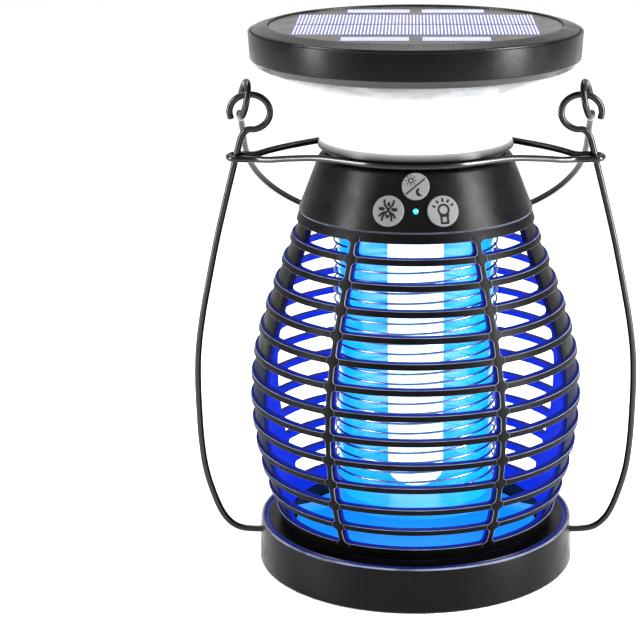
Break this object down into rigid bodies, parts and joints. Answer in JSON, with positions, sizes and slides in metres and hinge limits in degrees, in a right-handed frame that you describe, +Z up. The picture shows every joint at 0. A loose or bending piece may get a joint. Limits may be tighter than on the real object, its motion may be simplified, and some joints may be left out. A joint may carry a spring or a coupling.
{
  "type": "electric bug zapper",
  "caption": "Outdoor lantern bug zapper: solar disc on a white lamp, buttons on a cone, ribbed cage round a coil grid and lit tube, round base and a swinging wire handle.",
  "frame": {"origin": "centre of the base's flat underside", "axes": "+Z up, the control buttons face -Y, the side wires are at -X and +X, the handle hangs behind at +Y"},
  "size_m": [0.2208, 0.1899, 0.2699],
  "materials": {
    "black_plastic": "fine textured satin",
    "inner_plastic": "matt",
    "insulator": "smooth blue moulded plastic",
    "black_wire": "gloss black coated steel wire",
    "grid_wire": "bright drawn wire",
    "button_grey": "soft satin with dark printed icons",
    "lamp_white": "opal white, lit from inside",
    "uv_glow": "lit pale cyan tube",
    "blue_guide": "clear blue tube lit from inside",
    "solar_blue": "dark glass over blue solar cells",
    "board_green": "solder resist",
    "steel": "plated",
    "cell_blue": "shrink-wrapped cell",
    "rubber": "matt",
    "cyan_led": "lit cyan lens"
  },
  "bodies": {
    "base": {"base_shell": "black_plastic", "bottom_cover": "inner_plastic", "bottom_screw_1": "steel", "bottom_screw_2": "steel", "bottom_screw_3": "steel", "bottom_screw_4": "steel", "insect_tray": "insulator", "side_wire_left": "black_wire", "side_wire_right": "black_wire", "neck_ring": "black_wire"},
    "tower": {"cage": "black_plastic", "lock_ring": "inner_plastic", "control_housing": "black_plastic", "housing_floor": "inner_plastic", "neck_collar": "black_plastic", "control_board": "board_green", "tact_switch_bug": "inner_plastic", "tact_switch_bulb": "inner_plastic", "tact_switch_sun_moon": "inner_plastic", "indicator_led": "cyan_led", "battery_cell": "cell_blue", "battery_cradle": "inner_plastic", "hv_module": "black_plastic", "charge_port": "steel", "grid_top_holder": "insulator", "grid_spider": "insulator", "hv_coil_a": "grid_wire", "hv_coil_b": "grid_wire", "uv_lamp": "uv_glow", "lamp_socket": "inner_plastic", "light_guide": "blue_guide", "lamp_diffuser": "lamp_white", "lamp_core": "lamp_white", "led_board": "board_green", "disc_lower_shell": "black_plastic", "disc_bezel": "black_plastic", "solar_panel": "solar_blue"},
    "button_bug": {"button_bug": "button_grey"},
    "button_bulb": {"button_bulb": "button_grey"},
    "button_sun_moon": {"button_sun_moon": "button_grey"},
    "handle": {"carry_handle": "black_wire"},
    "port_cover": {"port_cover": "rubber"}
  },
  "joints": [
    {"name": "tower_twist", "type": "hinge", "parent": "base", "child": "tower", "pos_m": [0, 0, 0.0225], "axis": [0, 0, 1], "range_deg": [-22, 0]},
    {"name": "handle_swing", "type": "hinge", "parent": "base", "child": "handle", "pos_m": [0, 0, 0.2355], "axis": [1, 0, 0], "range_deg": [-13, 273]},
    {"name": "port_cover_flip", "type": "hinge", "parent": "tower", "child": "port_cover", "pos_m": [0, 0.05248, 0.19609], "axis": [1, 0, 0], "range_deg": [0, 110]},
    {"name": "bug_press", "type": "slide", "parent": "tower", "child": "button_bug", "axis": [0.219, 0.9054, -0.3636], "range_m": [0, 0.0005], "stiffness_N_per_m": 900},
    {"name": "bulb_press", "type": "slide", "parent": "tower", "child": "button_bulb", "axis": [-0.219, 0.9054, -0.3636], "range_m": [0, 0.0005], "stiffness_N_per_m": 900},
    {"name": "sun_moon_press", "type": "slide", "parent": "tower", "child": "button_sun_moon", "axis": [0, 0.9315, -0.3636], "range_m": [0, 0.0005], "stiffness_N_per_m": 900}
  ]
}
